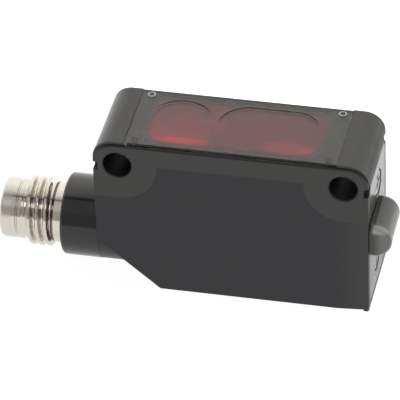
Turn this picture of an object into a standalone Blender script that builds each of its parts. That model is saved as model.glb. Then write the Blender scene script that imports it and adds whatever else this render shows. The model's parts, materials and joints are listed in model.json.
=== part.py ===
"""Miniature photoelectric sensor with an M8 plug connector.

Frame: metres, +Z up.  X runs along the housing (connector at -X, indicator
dome at +X) with X = 0 midway between the two mounting holes.  Z = 0 is the
flat back face, the lenses look along +Z, Y = 0 is the middle of the
thickness.  All numbers below are millimetres and are turned into metres by
the helper functions.
"""
import math

import bmesh
import bpy
from mathutils import Vector

# ------------------------------------------------------------ dimensions (mm)
MM = 0.001

LENGTH = 31.0            # housing along X
WIDTH = 11.0             # housing along Y
DEPTH = 19.8             # back face to window face
R_TOP = 2.3              # rounded lens-side corners
HOLE_PITCH = 25.4        # mounting hole spacing
HOLE_D = 3.2             # clears an M3 screw
HOLE_Z = 16.8            # hole height above the back face
PAD_R = 4.4              # raised pad round each mounting hole
PAD_Z = 12.3             # lower edge of the pad towards the housing end
BAND_Z = 17.1            # lower edge of the raised band between the pads
PAD_STEP = 0.12          # how far pads and band stand proud of the panels
CHAMFER = ((-15.5, 6.15), (-8.4, 0.0))   # sloping rear corner, (X, Z)
BELLY_R = 4.6            # round belly behind the connector
LIP_Z = 19.42            # top of the side walls
LIP_Y = 5.24             # inner face of the side wall lips

CONN_Z = 5.2             # connector axis height
COLLAR_R = 4.7
COLLAR_X = (-20.1, -15.6)
BORE_R = 3.5             # housing bore for the connector
THREAD_R = 4.0           # M8 x 1 crest
THREAD_ROOT_R = 3.45
THREAD_PITCH = 0.97
THREAD_FIRST_X = -22.1
THREAD_TURNS = 3
NOSE_R = 3.48
NECK_R = 3.42             # plain neck between collar and thread
TIP_X = -27.4

WINDOW_X = 11.87
WINDOW_Z = 19.35         # underside of the window
FRAME_Z = 19.27          # top of the cover frame and of the lenses
POST_X, POST_Y = 10.85, 4.37
LENS1 = (-9.85, -2.9)    # emitter lens flange, lowest and highest X
LENS2 = (-2.82, 9.42)    # receiver lens flange
LENS_Y = 4.15            # half width of both flanges
LENS_R = 3.3             # their corner radius
FRAME_X, FRAME_Y = 10.2, 4.66   # cover frame that drops into the case

PANEL_X = 14.7           # inner face of the control panel
ADJ_POS = (0.8, 13.5)    # sensitivity adjuster axis, (Y, Z)
SEL_POS = (-0.4, 3.9)    # operation selector axis, (Y, Z)
ROTOR_R = 1.45
DOME_Z = 9.8             # middle of the indicator dome
DOME_X = 15.57           # foot of the dome

GAP = 0.08               # running gap between neighbouring pieces


# ------------------------------------------------------------------- helpers
def clear_scene():
    for ob in list(bpy.data.objects):
        bpy.data.objects.remove(ob, do_unlink=True)
    for coll in list(bpy.data.collections):
        bpy.data.collections.remove(coll)


def collection(name):
    coll = bpy.data.collections.new(name)
    bpy.context.scene.collection.children.link(coll)
    return coll


def material(name, colour, roughness, metallic=0.0, alpha=1.0):
    mat = bpy.data.materials.new(name)
    mat.use_nodes = True
    mat.diffuse_color = (*colour, alpha)
    bsdf = mat.node_tree.nodes["Principled BSDF"]
    bsdf.inputs["Base Color"].default_value = (*colour, 1.0)
    bsdf.inputs["Roughness"].default_value = roughness
    bsdf.inputs["Metallic"].default_value = metallic
    bsdf.inputs["Alpha"].default_value = alpha
    return mat


def place(ob, coll, mat=None):
    for other in list(ob.users_collection):
        other.objects.unlink(ob)
    coll.objects.link(ob)
    if mat is not None:
        ob.data.materials.clear()
        ob.data.materials.append(mat)
    if coll is CUTTERS:
        ob.hide_render = True
        ob.display_type = 'WIRE'
    return ob


def smooth(ob, angle=40.0):
    ob.data.shade_smooth()
    ob.data.set_sharp_from_angle(angle=math.radians(angle))


def box(name, lo, hi, coll, mat=None):
    """Cube primitive between two corners, its scale applied to the mesh."""
    bpy.ops.mesh.primitive_cube_add(size=1.0)
    ob = bpy.context.active_object
    ob.name = ob.data.name = name
    size = [(hi[i] - lo[i]) * MM for i in range(3)]
    for v in ob.data.vertices:
        v.co = Vector([v.co[i] * size[i] for i in range(3)])
    ob.location = [(hi[i] + lo[i]) * 0.5 * MM for i in range(3)]
    return place(ob, coll, mat)


def cylinder(name, radius, start, end, coll, mat=None, sides=32, radius2=None):
    """Cylinder (or cone) primitive between two points."""
    a, b = Vector(start) * MM, Vector(end) * MM
    bpy.ops.mesh.primitive_cone_add(
        vertices=sides, radius1=radius * MM,
        radius2=(radius if radius2 is None else radius2) * MM,
        depth=(b - a).length, location=(a + b) / 2)
    ob = bpy.context.active_object
    ob.name = ob.data.name = name
    ob.rotation_euler = (b - a).to_track_quat('Z', 'Y').to_euler()
    smooth(ob)
    return place(ob, coll, mat)


def torus(name, major, minor, centre, coll, mat=None, turn=(0, 0, 0)):
    bpy.ops.mesh.primitive_torus_add(
        major_radius=major * MM, minor_radius=minor * MM,
        major_segments=24, minor_segments=6,
        location=[c * MM for c in centre], rotation=turn)
    ob = bpy.context.active_object
    ob.name = ob.data.name = name
    smooth(ob, 80)
    return place(ob, coll, mat)


def fillet(points, steps=6):
    """Outline corners (x, y, radius) turned into points with round corners."""
    out = []
    n = len(points)
    for i, (x, y, r) in enumerate(points):
        p = Vector((x, y))
        if r <= 0:
            out.append((x, y))
            continue
        a = Vector(points[i - 1][:2]) - p
        b = Vector(points[(i + 1) % n][:2]) - p
        a.normalize()
        b.normalize()
        half = math.acos(max(-1.0, min(1.0, a.dot(b)))) / 2
        reach = r / math.tan(half)
        centre = p + (a + b).normalized() * (r / math.sin(half))
        s, e = p + a * reach - centre, p + b * reach - centre
        sweep = math.atan2(s.x * e.y - s.y * e.x, s.dot(e))
        for k in range(steps + 1):
            t = sweep * k / steps
            out.append((centre.x + s.x * math.cos(t) - s.y * math.sin(t),
                        centre.y + s.x * math.sin(t) + s.y * math.cos(t)))
    return out


def circle_points(cx, cy, r, count=36, start=0.0, sweep=2 * math.pi):
    return [(cx + r * math.cos(start + sweep * k / count),
             cy + r * math.sin(start + sweep * k / count)) for k in range(count)]


# turns of a flat outline: its local x, y and extrusion z in the model
TURN = {'XY': (0, 0, 0), 'XZ': (math.pi / 2, 0, 0),
        'YZ': (math.pi / 2, 0, math.pi / 2)}


def outline(name, points, plane, low, high, coll, mat=None):
    """Flat outline in a plane, extruded between two heights on its normal.

    Made as a filled 2D curve, then turned into a welded mesh so that it can
    be bevelled, cut and joined.
    """
    data = bpy.data.curves.new(name + "_outline", 'CURVE')
    data.dimensions = '2D'
    data.fill_mode = 'BOTH'
    data.extrude = (high - low) * 0.5 * MM
    spline = data.splines.new('POLY')
    spline.points.add(len(points) - 1)
    for point, (x, y) in zip(spline.points, points):
        point.co = (x * MM, y * MM, 0.0, 1.0)
    spline.use_cyclic_u = True
    curve = bpy.data.objects.new(name + "_outline", data)
    bpy.context.scene.collection.objects.link(curve)
    mid = (high + low) * 0.5 * MM
    curve.rotation_euler = TURN[plane]
    curve.location = {'XY': (0, 0, mid), 'XZ': (0, mid, 0),
                      'YZ': (mid, 0, 0)}[plane]
    bpy.context.view_layer.update()
    graph = bpy.context.evaluated_depsgraph_get()
    mesh = bpy.data.meshes.new_from_object(curve.evaluated_get(graph))
    mesh.name = name
    bm = bmesh.new()
    bm.from_mesh(mesh)
    bmesh.ops.remove_doubles(bm, verts=bm.verts, dist=1e-7)
    bmesh.ops.dissolve_limit(bm, angle_limit=math.radians(0.5),
                             verts=bm.verts, edges=bm.edges)
    bmesh.ops.recalc_face_normals(bm, faces=bm.faces)
    bm.to_mesh(mesh)
    bm.free()
    ob = bpy.data.objects.new(name, mesh)
    ob.matrix_world = curve.matrix_world
    bpy.data.objects.remove(curve, do_unlink=True)
    mesh.shade_smooth()
    mesh.set_sharp_from_angle(angle=math.radians(35))
    return place(ob, coll, mat)


def turned(name, profile, centre, coll, mat=None, steps=32, along='X', ring=False):
    """Profile of (radius, position along the axis) swept by a Screw modifier.

    The profile runs down its outer side.  along='X' lays the axis along +X.
    """
    mesh = bpy.data.meshes.new(name)
    edges = [(i, i + 1) for i in range(len(profile) - 1)]
    if ring:
        edges.append((len(profile) - 1, 0))
    mesh.from_pydata([(r * MM, 0.0, a * MM) for r, a in profile], edges, [])
    ob = bpy.data.objects.new(name, mesh)
    ob.location = [c * MM for c in centre]
    if along == 'X':
        ob.rotation_euler = (0, math.pi / 2, 0)
    screw = ob.modifiers.new("Screw", 'SCREW')
    screw.axis = 'Z'
    screw.angle = 2 * math.pi
    screw.steps = screw.render_steps = steps
    screw.use_merge_vertices = True
    screw.merge_threshold = 0.00001
    screw.use_smooth_shade = True
    return place(ob, coll, mat)


def as_mesh(ob):
    """Replace an object by the mesh of its evaluated modifiers."""
    bpy.context.view_layer.update()
    graph = bpy.context.evaluated_depsgraph_get()
    mesh = bpy.data.meshes.new_from_object(ob.evaluated_get(graph))
    mesh.name = ob.name
    ob.modifiers.clear()
    ob.data = mesh
    smooth(ob)
    return ob


def bevel(ob, width, segments=2, angle=40.0):
    mod = ob.modifiers.new("Bevel", 'BEVEL')
    mod.width = width * MM
    mod.segments = segments
    mod.limit_method = 'ANGLE'
    mod.angle_limit = math.radians(angle)
    mod.use_clamp_overlap = True
    return ob


def boolean(ob, cutter, operation='DIFFERENCE'):
    mod = ob.modifiers.new(operation.title(), 'BOOLEAN')
    mod.operation = operation
    mod.solver = 'EXACT'
    mod.object = cutter
    return ob


def wire(name, points, radius, coll, mat):
    """Insulated lead: a bevelled poly curve with filled caps."""
    data = bpy.data.curves.new(name, 'CURVE')
    data.dimensions = '3D'
    data.bevel_depth = radius * MM
    data.bevel_resolution = 2
    data.use_fill_caps = True
    spline = data.splines.new('POLY')
    spline.points.add(len(points) - 1)
    for point, co in zip(spline.points, points):
        point.co = (co[0] * MM, co[1] * MM, co[2] * MM, 1.0)
    ob = bpy.data.objects.new(name, data)
    return place(ob, coll, mat)


def smooth_route(knots, per_span=4):
    """Points on a Catmull-Rom curve through the knots."""
    pts = [Vector(k) for k in knots]
    pts = [2 * pts[0] - pts[1]] + pts + [2 * pts[-1] - pts[-2]]
    out = []
    for i in range(1, len(pts) - 2):
        p0, p1, p2, p3 = pts[i - 1:i + 3]
        for k in range(per_span):
            t = k / per_span
            out.append(0.5 * ((2 * p1) + (p2 - p0) * t
                              + (2 * p0 - 5 * p1 + 4 * p2 - p3) * t * t
                              + (3 * p1 - p0 - 3 * p2 + p3) * t ** 3))
    out.append(pts[-2])
    return out


# ------------------------------------------------------------------ materials
clear_scene()
PARTS = collection("photoelectric_sensor")
CUTTERS = collection("cutters")

M_CASE = material("case_black", (0.040, 0.042, 0.044), 0.42)
M_COVER = material("cover_black", (0.060, 0.058, 0.054), 0.30)
M_WINDOW = material("window_smoked_red", (0.20, 0.02, 0.03), 0.06, alpha=0.55)
M_LENS = material("lens_red", (0.55, 0.03, 0.06), 0.05, alpha=0.6)
M_PANEL = material("panel_black", (0.050, 0.050, 0.050), 0.35)
M_DOME = material("dome_grey", (0.25, 0.26, 0.26), 0.22)
M_ROTOR = material("adjuster_white", (0.75, 0.74, 0.70), 0.35)
M_GLOSS = material("collar_black", (0.012, 0.012, 0.012), 0.14)
M_NICKEL = material("nickel_plate", (0.72, 0.69, 0.64), 0.16, 1.0)
M_GOLD = material("gold_plate", (0.83, 0.60, 0.26), 0.2, 1.0)
M_RUBBER = material("seal_rubber", (0.03, 0.03, 0.03), 0.6)
M_INSERT = material("insert_black", (0.02, 0.02, 0.022), 0.5)
M_HOLDER = material("holder_black", (0.02, 0.02, 0.02), 0.7)
M_BOARD = material("board_green", (0.02, 0.16, 0.06), 0.4)
M_CHIP = material("chip_black", (0.03, 0.03, 0.035), 0.45)
M_TIN = material("tinned_steel", (0.6, 0.6, 0.6), 0.3, 1.0)
M_LED_RED = material("led_red", (0.7, 0.05, 0.03), 0.1)
M_LED_ORANGE = material("led_orange", (0.9, 0.35, 0.05), 0.2)
M_LED_GREEN = material("led_green", (0.1, 0.6, 0.15), 0.2)
M_CERAMIC = material("ceramic_tan", (0.45, 0.33, 0.2), 0.4)
M_TRIM = material("trimmer_blue", (0.06, 0.14, 0.35), 0.4)
WIRE_MATS = {"brown": material("wire_brown", (0.16, 0.06, 0.03), 0.45),
             "white": material("wire_white", (0.75, 0.75, 0.73), 0.45),
             "blue": material("wire_blue", (0.03, 0.09, 0.40), 0.45),
             "black": material("wire_black", (0.02, 0.02, 0.02), 0.45)}

H = WIDTH / 2
E = LENGTH / 2

# -------------------------------------------------------------------- housing
# side view of the case: chamfered rear corner, a small foot at the dome end
case_side = fillet([
    (-E, CHAMFER[0][1], 0.4), (CHAMFER[1][0], 0.0, 0.3), (11.0, 0.0, 0),
    (14.85, 0.28, 0), (14.95, 0.0, 0), (E, 0.0, 0.25),
    (E, LIP_Z, R_TOP), (-E, LIP_Z, R_TOP)], steps=5)
housing = outline("housing", case_side, 'XZ', -H, H, PARTS, M_CASE)
bevel(housing, 0.2, 2, 50)

belly = cylinder("cut_belly", BELLY_R, (-15.45, 0, CONN_Z), (-9.0, 0, CONN_Z),
                 CUTTERS, sides=40)
boolean(housing, belly, 'UNION')

# shallow side panels below the band and outside the pads, on both sides
pad = circle_points(-HOLE_PITCH / 2, HOLE_Z, PAD_R, 14, -math.pi / 2, math.pi / 2
                    + math.asin((BAND_Z - HOLE_Z) / PAD_R))
pad_arc = pad + [(-HOLE_PITCH / 2 + math.sqrt(PAD_R ** 2 - (BAND_Z - HOLE_Z) ** 2), BAND_Z)]
panel_side = ([(-E - 1, PAD_Z + 0.06), (-HOLE_PITCH / 2 - 0.3, PAD_Z + 0.06)] + pad_arc[1:]
              + [(-x, z) for x, z in reversed(pad_arc[1:])]
              + [(HOLE_PITCH / 2 + 0.3, PAD_Z + 0.06), (E + 1, PAD_Z + 0.06),
                 (E + 1, -1), (-E - 1, -1)])
for side in (-1, 1):
    lo, hi = sorted((side * (H - PAD_STEP), side * (H + 0.5)))
    boolean(housing, outline("cut_panel_%d" % side, panel_side, 'XZ', lo, hi, CUTTERS))

# hollow interior, following the chamfer, and its neck under the window
inside = [(-13.9, 14.2), (-13.9, 6.36), (-7.95, 1.2), (14.0, 1.2), (14.0, 14.2)]
boolean(housing, outline("cut_inside", inside, 'XZ', -4.45, 4.45, CUTTERS))
boolean(housing, box("cut_neck", (-9.35, -3.65, 13.0), (9.35, 3.65, 18.0), CUTTERS))
boolean(housing, outline("cut_front", fillet(
    [(-10.28, -4.74, 0.8), (10.28, -4.74, 0.8), (10.28, 4.74, 0.8), (-10.28, 4.74, 0.8)]),
    'XY', 16.8, 21.0, CUTTERS))
# seat of the window and cover, between the side wall lips
boolean(housing, box("cut_seat", (-12.05, -LIP_Y, FRAME_Z), (12.05, LIP_Y, 21), CUTTERS))
for side in (-1, 1):
    a, b = sorted((side * 9.9, side * 16.5))
    boolean(housing, box("cut_cap_%d" % side, (a, -LIP_Y, 18.65), (b, LIP_Y, 21), CUTTERS))
    a, b = sorted((side * 14.62, side * 16.5))
    boolean(housing, box("cut_flap_%d" % side, (a, -LIP_Y, 17.0), (b, LIP_Y, 21), CUTTERS))
    # snap notches below the cover flaps, at the corners
    for near in (-1, 1):
        c, d = sorted((near * 4.4, near * 6.0))
        a, b = sorted((side * 14.95, side * 16.5))
        boolean(housing, box("cut_notch_%d_%d" % (side, near), (a, c, 15.9), (b, d, 17.02), CUTTERS))
    # mounting holes, with a small lead-in on both faces
    boolean(housing, cylinder("cut_hole_%d" % side, HOLE_D / 2,
                              (side * HOLE_PITCH / 2, -7, HOLE_Z),
                              (side * HOLE_PITCH / 2, 7, HOLE_Z), CUTTERS, sides=36))
# opening and seat of the control panel in the dome end
boolean(housing, outline("cut_end", fillet(
    [(-4.35, 1.2, 0.8), (4.35, 1.2, 0.8), (4.35, 14.92, 0.8), (-4.35, 14.92, 0.8)]),
    'YZ', 13.0, 16.5, CUTTERS))
boolean(housing, outline("cut_end_boss", fillet(
    [(-4.35, 1.2, 0.8), (4.35, 1.2, 0.8), (4.35, 15.66, 0.8), (-4.35, 15.66, 0.8)]),
    'YZ', 14.06, 16.5, CUTTERS))
boolean(housing, outline("cut_end_seat", fillet(
    [(-4.78, 0.72, 0.9), (4.78, 0.72, 0.9), (4.78, 16.55, 0.9), (-4.78, 16.55, 0.9)]),
    'YZ', 14.6, 16.5, CUTTERS))
# connector bore
boolean(housing, cylinder("cut_bore", BORE_R, (-17, 0, CONN_Z), (-8.6, 0, CONN_Z),
                          CUTTERS, sides=40))

# ---------------------------------------------------------------- front cover
cap_in = 14.7
cover_side = fillet([
    (-E, 17.08, 0.15), (-cap_in, 17.08, 0), (-cap_in, 18.73, 0.3), (cap_in, 18.73, 0.3),
    (cap_in, 17.08, 0), (E, 17.08, 0.15), (E, DEPTH, R_TOP), (11.95, DEPTH, 0),
    (11.95, FRAME_Z, 0), (-11.95, FRAME_Z, 0), (-11.95, DEPTH, 0), (-E, DEPTH, R_TOP)], steps=6)
cover_y = LIP_Y - GAP
front_cover = outline("front_cover", cover_side, 'XZ', -cover_y, cover_y, PARTS, M_COVER)
# trimmed to the seat, then joined to the frame that drops into the neck
for side in (-1, 1):
    lo, hi = sorted((side * (FRAME_Y - 0.002), side * 6))
    boolean(front_cover, box("cut_cover_side_%d" % side, (-9.98, lo, 16), (9.98, hi, 21), CUTTERS))
boolean(front_cover, outline("cut_cover_frame", fillet(
    [(-FRAME_X, -FRAME_Y, 0.7), (FRAME_X, -FRAME_Y, 0.7), (FRAME_X, FRAME_Y, 0.7), (-FRAME_X, FRAME_Y, 0.7)]),
    'XY', 17.42, 19.0, CUTTERS), 'UNION')
for ix in (-1, 1):
    for iy in (-1, 1):
        boolean(front_cover, cylinder("cut_post_%d_%d" % (ix, iy), 0.38,
                                      (ix * POST_X, iy * POST_Y, 18.95),
                                      (ix * POST_X, iy * POST_Y, 19.72), CUTTERS, sides=16), 'UNION')
# one opening that both lens flanges share
boolean(front_cover, outline("cut_lens_seat", fillet(
    [(LENS1[0] - GAP, -LENS_Y - GAP, 2.56), (LENS2[1] + GAP, -LENS_Y - GAP, 2.56),
     (LENS2[1] + GAP, LENS_Y + GAP, 2.56), (LENS1[0] - GAP, LENS_Y + GAP, 2.56)]),
    'XY', 16, 21, CUTTERS))

# --------------------------------------------------------------- front window
front_window = outline("front_window", [(-WINDOW_X, -cover_y), (WINDOW_X, -cover_y),
                                        (WINDOW_X, cover_y), (-WINDOW_X, cover_y)],
                       'XY', WINDOW_Z, DEPTH, PARTS, M_WINDOW)
bevel(front_window, 0.12, 2, 50)
for ix in (-1, 1):
    for iy in (-1, 1):
        boolean(front_window, cylinder("cut_post_hole_%d_%d" % (ix, iy), 0.46,
                                       (ix * POST_X, iy * POST_Y, 18), (ix * POST_X, iy * POST_Y, 21),
                                       CUTTERS, sides=16))

# --------------------------------------------------------------------- lenses
# each lens is a flange that fills its half of the frame, with a crowned optical
# body below it
def lens(name, corners, crown_x, crown_scale, coll, mat):
    ob = outline(name, fillet(corners), 'XY', 18.5, FRAME_Z, coll, mat)
    dome = [(3.25 * math.sin(math.radians(a)), 18.1 - 1.1 * math.cos(math.radians(a)))
            for a in (72, 54, 36, 18)]
    body = turned("cut_crown_" + name, [(0, 18.8), (3.25, 18.8), (3.25, 18.1)] + dome + [(0, 17.0)],
                  (0, 0, 0), CUTTERS, steps=32, along='Z')
    as_mesh(body)
    for v in body.data.vertices:
        v.co.x = v.co.x * crown_scale
    body.location = (crown_x * MM, 0, 0)
    return boolean(ob, body, 'UNION')


LENS1_X = (LENS1[0] + LENS1[1]) / 2
receiver_mid = (LENS2[0] + LENS2[1]) / 2
lens("emitter_lens", [(LENS1[0], -LENS_Y, 2.5), (LENS1[1], -LENS_Y, 0), (LENS1[1], LENS_Y, 0),
                      (LENS1[0], LENS_Y, 2.5)], LENS1_X, 1.0, PARTS, M_LENS)
lens("receiver_lens", [(LENS2[0], -LENS_Y, 0), (LENS2[1], -LENS_Y, 2.5), (LENS2[1], LENS_Y, 2.5),
                       (LENS2[0], LENS_Y, 0)], receiver_mid, 1.6, PARTS, M_LENS)

# --------------------------------------------------------------- front gasket
front_gasket = outline("front_gasket", fillet(
    [(-FRAME_X, -FRAME_Y, 0.7), (FRAME_X, -FRAME_Y, 0.7), (FRAME_X, FRAME_Y, 0.7), (-FRAME_X, FRAME_Y, 0.7)]),
    'XY', 16.86, 17.34, PARTS, M_RUBBER)
boolean(front_gasket, outline("cut_gasket", fillet(
    [(-9.6, -3.85, 0.5), (9.6, -3.85, 0.5), (9.6, 3.85, 0.5), (-9.6, 3.85, 0.5)]),
    'XY', 16, 18, CUTTERS))

# -------------------------------------------------------------- optics holder
optics_holder = box("optics_holder", (-9.27, -3.57, 11.7), (9.27, 3.57, 16.85), PARTS, M_HOLDER)
bevel(optics_holder, 0.2, 1)
boolean(optics_holder, cylinder("cut_emitter_cone", 1.75, (LENS1_X, 0, 11.0), (LENS1_X, 0, 17.6),
                                CUTTERS, sides=32, radius2=3.0))
cone = cylinder("cut_receiver_cone", 1.6, (receiver_mid, 0, 11.0), (receiver_mid, 0, 17.6),
                CUTTERS, sides=32, radius2=3.1)
for v in cone.data.vertices:              # wider along X than across
    v.co.x *= 1.0 + 0.65 * (0.5 + v.co.z / (6.6 * MM))
boolean(optics_holder, cone)

# ----------------------------------------------------------------- main board
box("main_board", (-9.4, -4.1, 7.9), (11.9, 4.1, 8.7), PARTS, M_BOARD)
# emitter LED with a round nose, flange on the board
nose = [(1.4 * math.cos(math.radians(a)), 11.7 + 1.4 * math.sin(math.radians(a)))
        for a in (75, 60, 45, 30, 15, 0)]
turned("emitter_led", [(0, 13.1)] + nose + [(1.4, 9.6), (1.75, 9.6), (1.75, 8.78), (0, 8.78)],
       (LENS1_X, 0, 0), PARTS, M_LED_RED, steps=24, along='Z')
box("receiver_photodiode", (receiver_mid - 1.5, -1.4, 8.78), (receiver_mid + 1.5, 1.4, 9.9),
    PARTS, M_CHIP)
receiver_shield = box("receiver_shield", (receiver_mid - 2.5, -2.4, 8.78), (receiver_mid + 2.5, 2.4, 11.2),
                      PARTS, M_TIN)
boolean(receiver_shield, box("cut_shield", (receiver_mid - 2.3, -2.2, 8.0), (receiver_mid + 2.3, 2.2, 11.0),
                             CUTTERS))
boolean(receiver_shield, cylinder("cut_shield_eye", 1.2, (receiver_mid, 0, 10), (receiver_mid, 0, 12),
                                  CUTTERS, sides=24))
box("signal_ic", (-2.4, -2.4, 6.9), (2.4, 2.4, 7.82), PARTS, M_CHIP)
box("output_driver", (4.6, -3.2, 6.7), (7.6, -1.6, 7.82), PARTS, M_CHIP)
box("filter_capacitor", (4.9, 1.2, 6.6), (6.9, 2.6, 7.82), PARTS, M_CERAMIC)
box("board_header", (9.4, -2.6, 8.78), (12.32, 2.6, 9.9), PARTS, M_INSERT)

# ------------------------------------------------------------ indicator board
box("indicator_board", (12.4, -3.9, 1.8), (13.2, 3.9, 14.0), PARTS, M_BOARD)
box("output_led", (13.28, -3.5, DOME_Z - 0.6), (14.1, -2.3, DOME_Z + 0.6), PARTS, M_LED_ORANGE)
box("stability_led", (13.28, -0.9, DOME_Z - 0.6), (14.1, 0.3, DOME_Z + 0.6), PARTS, M_LED_GREEN)

# -------------------------------------------------------------- control panel
control_panel = outline("control_panel", fillet(
    [(-4.7, 0.8, 0.82), (4.7, 0.8, 0.82), (4.7, 16.47, 0.82), (-4.7, 16.47, 0.82)]),
    'YZ', PANEL_X, E, PARTS, M_PANEL)
for tag, (y, z) in (("adj", ADJ_POS), ("sel", SEL_POS)):
    boolean(control_panel, cylinder("cut_panel_boss_" + tag, 1.95, (14.15, y, z), (14.9, y, z),
                                    CUTTERS, sides=32), 'UNION')
for tag, (y, z) in (("adj", ADJ_POS), ("sel", SEL_POS)):
    boolean(control_panel, cylinder("cut_panel_bore_" + tag, ROTOR_R + 0.1, (13, y, z), (17, y, z),
                                    CUTTERS, sides=32))
boolean(control_panel, outline("cut_panel_window", fillet(
    [(-4.1, 8.5, 0.7), (0.9, 8.5, 0.7), (0.9, 11.1, 0.7), (-4.1, 11.1, 0.7)]),
    'YZ', 14, 17, CUTTERS))

# ------------------------------------------------------------- indicator dome
def hill(name, y0, y1, z_mid, half, reach, rounding, coll, mat=None):
    """Hill-shaped bar along Y: straight foot, full round crest."""
    foot = reach - half
    arc = [(DOME_X + foot + half * math.cos(math.radians(a)), z_mid + half * math.sin(math.radians(a)))
           for a in range(-90, 91, 15)]
    ob = outline(name, [(DOME_X, z_mid - half)] + arc + [(DOME_X, z_mid + half)],
                 'XZ', y0, y1, coll, mat)
    return bevel(ob, rounding, 4, 50)


indicator_dome = hill("indicator_dome", -4.9, 1.6, DOME_Z, 1.95, 2.38, 1.15, PARTS, M_DOME)
lobe = hill("cut_dome_lobe", -5.35, -4.15, DOME_Z, 2.0, 2.43, 0.4, CUTTERS)
boolean(indicator_dome, lobe, 'UNION')
boolean(indicator_dome, outline("cut_dome_spigot", fillet(
    [(-4.0, 8.6, 0.6), (0.8, 8.6, 0.6), (0.8, 11.0, 0.6), (-4.0, 11.0, 0.6)]),
    'YZ', 14.5, 16.3, CUTTERS), 'UNION')

# ------------------------------------------- adjusters, their seals and bases
def rotor(name, y, z, slots, coll, mat):
    """Screwdriver-turned rotor; its origin lies on its turning axis."""
    ob = turned(name, [(0, 0.72), (ROTOR_R - 0.12, 0.72), (ROTOR_R, 0.60), (ROTOR_R, 0.05),
                       (1.0, 0.05), (1.0, -0.42), (0.6, -0.42), (0.6, -1.0), (0, -1.0)],
                (PANEL_X, y, z), coll, mat, steps=32, along='X')
    as_mesh(ob)
    for tag, (y0, y1, z0, z1) in enumerate(slots):
        boolean(ob, box("cut_slot_%s_%d" % (name, tag), (PANEL_X + 0.36, y + y0, z + z0),
                        (PANEL_X + 1.2, y + y1, z + z1), CUTTERS))
    return ob


# cross slot with a broad pointer arm, and a straight slot with a pointer nick
rotor("sensitivity_adjuster", *ADJ_POS,
      [(-1.05, 1.05, -0.2, 0.2), (-0.2, 0.2, -1.05, 0.6), (-0.34, 0.34, 0.5, 1.1)],
      PARTS, M_ROTOR)
rotor("operation_selector", *SEL_POS,
      [(-0.24, 0.24, -1.1, 1.1), (-0.5, 0.5, 0.45, 0.95)], PARTS, M_ROTOR)
for name, (y, z) in (("sensitivity_seal", ADJ_POS), ("selector_seal", SEL_POS)):
    torus(name, 1.275, 0.2, (14.5, y, z), PARTS, M_RUBBER, turn=(0, math.pi / 2, 0))
for name, (y, z), mat in (("sensitivity_trimmer_body", ADJ_POS, M_TRIM),
                          ("selector_switch_body", SEL_POS, M_TRIM)):
    body = box(name, (13.28, y - 1.35, z - 1.35), (14.05, y + 1.35, z + 1.35), PARTS, mat)
    boolean(body, cylinder("cut_stem_" + name, 0.7, (12.8, y, z), (15, y, z), CUTTERS, sides=24))

# ------------------------------------------------------------------ connector
collar_profile = [(COLLAR_R - 0.35, COLLAR_X[1]), (COLLAR_R - 0.12, COLLAR_X[1] - 0.12),
                  (COLLAR_R, COLLAR_X[1] - 0.4), (COLLAR_R, COLLAR_X[0] + 0.4),
                  (COLLAR_R - 0.11, COLLAR_X[0] + 0.11), (COLLAR_R - 0.4, COLLAR_X[0]),
                  (3.4, COLLAR_X[0]), (3.4, -17.4), (2.75, -17.4), (2.75, -12.4),
                  (3.4, -12.4), (3.4, -14.2), (3.02, -14.2), (3.02, -14.8), (3.4, -14.8),
                  (3.4, COLLAR_X[1])]
# the outer side runs from the housing end to the front, the bore runs back
turned("connector_collar", collar_profile, (0, 0, CONN_Z), PARTS, M_GLOSS, steps=36, ring=True)
torus("collar_seal", 3.245, 0.2, (-14.5, 0, CONN_Z), PARTS, M_RUBBER, turn=(0, math.pi / 2, 0))

thread = []
for turn in range(THREAD_TURNS):
    x = THREAD_FIRST_X - turn * THREAD_PITCH
    thread += [(THREAD_ROOT_R, x + 0.42), (THREAD_R, x + 0.13), (THREAD_R, x - 0.13)]
thread_end = THREAD_FIRST_X - (THREAD_TURNS - 1) * THREAD_PITCH - 0.42
shell_profile = ([(3.3, -17.5), (3.3, COLLAR_X[0] - GAP), (NECK_R, COLLAR_X[0] - GAP),
                  (NECK_R, -21.17), (NECK_R - 0.3, -21.27), (NECK_R - 0.3, -21.36),
                  (NECK_R, -21.45)] + thread
                 + [(3.36, thread_end), (3.36, -24.75), (NOSE_R, -24.9),
                    (NOSE_R, -25.3), (NOSE_R - 0.12, -25.39), (NOSE_R - 0.12, -25.53), (NOSE_R, -25.62),
                    (NOSE_R, TIP_X + 0.5), (NOSE_R - 0.13, TIP_X + 0.13), (NOSE_R - 0.4, TIP_X),
                    (2.85, TIP_X), (2.75, TIP_X + 0.2), (2.75, -17.5)])
turned("connector_shell", shell_profile, (0, 0, CONN_Z), PARTS, M_NICKEL, steps=36, ring=True)

connector_insert = turned("connector_insert", [(0, -12.6), (2.65, -12.6), (2.65, -22.4), (2.5, -22.55), (0, -22.55)],
                          (0, 0, CONN_Z), PARTS, M_INSERT, steps=36)
as_mesh(connector_insert)
PINS = [("contact_pin_1", -1.05, 0.95, "brown"), ("contact_pin_2", 1.05, 0.95, "white"),
        ("contact_pin_3", -1.35, -0.85, "blue"), ("contact_pin_4", 1.35, -0.85, "black")]
for name, y, z, colour in PINS:
    boolean(connector_insert, cylinder("cut_hole_" + name, 0.56, (-24, y, CONN_Z + z), (-11, y, CONN_Z + z),
                                       CUTTERS, sides=16))
for name, y, z, colour in PINS:
    turned(name, [(0, -12.0), (0.32, -12.0), (0.5, -12.2), (0.5, -25.9), (0.4, -26.15), (0.2, -26.3), (0, -26.3)],
           (0, y, CONN_Z + z), PARTS, M_GOLD, steps=14)
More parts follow.
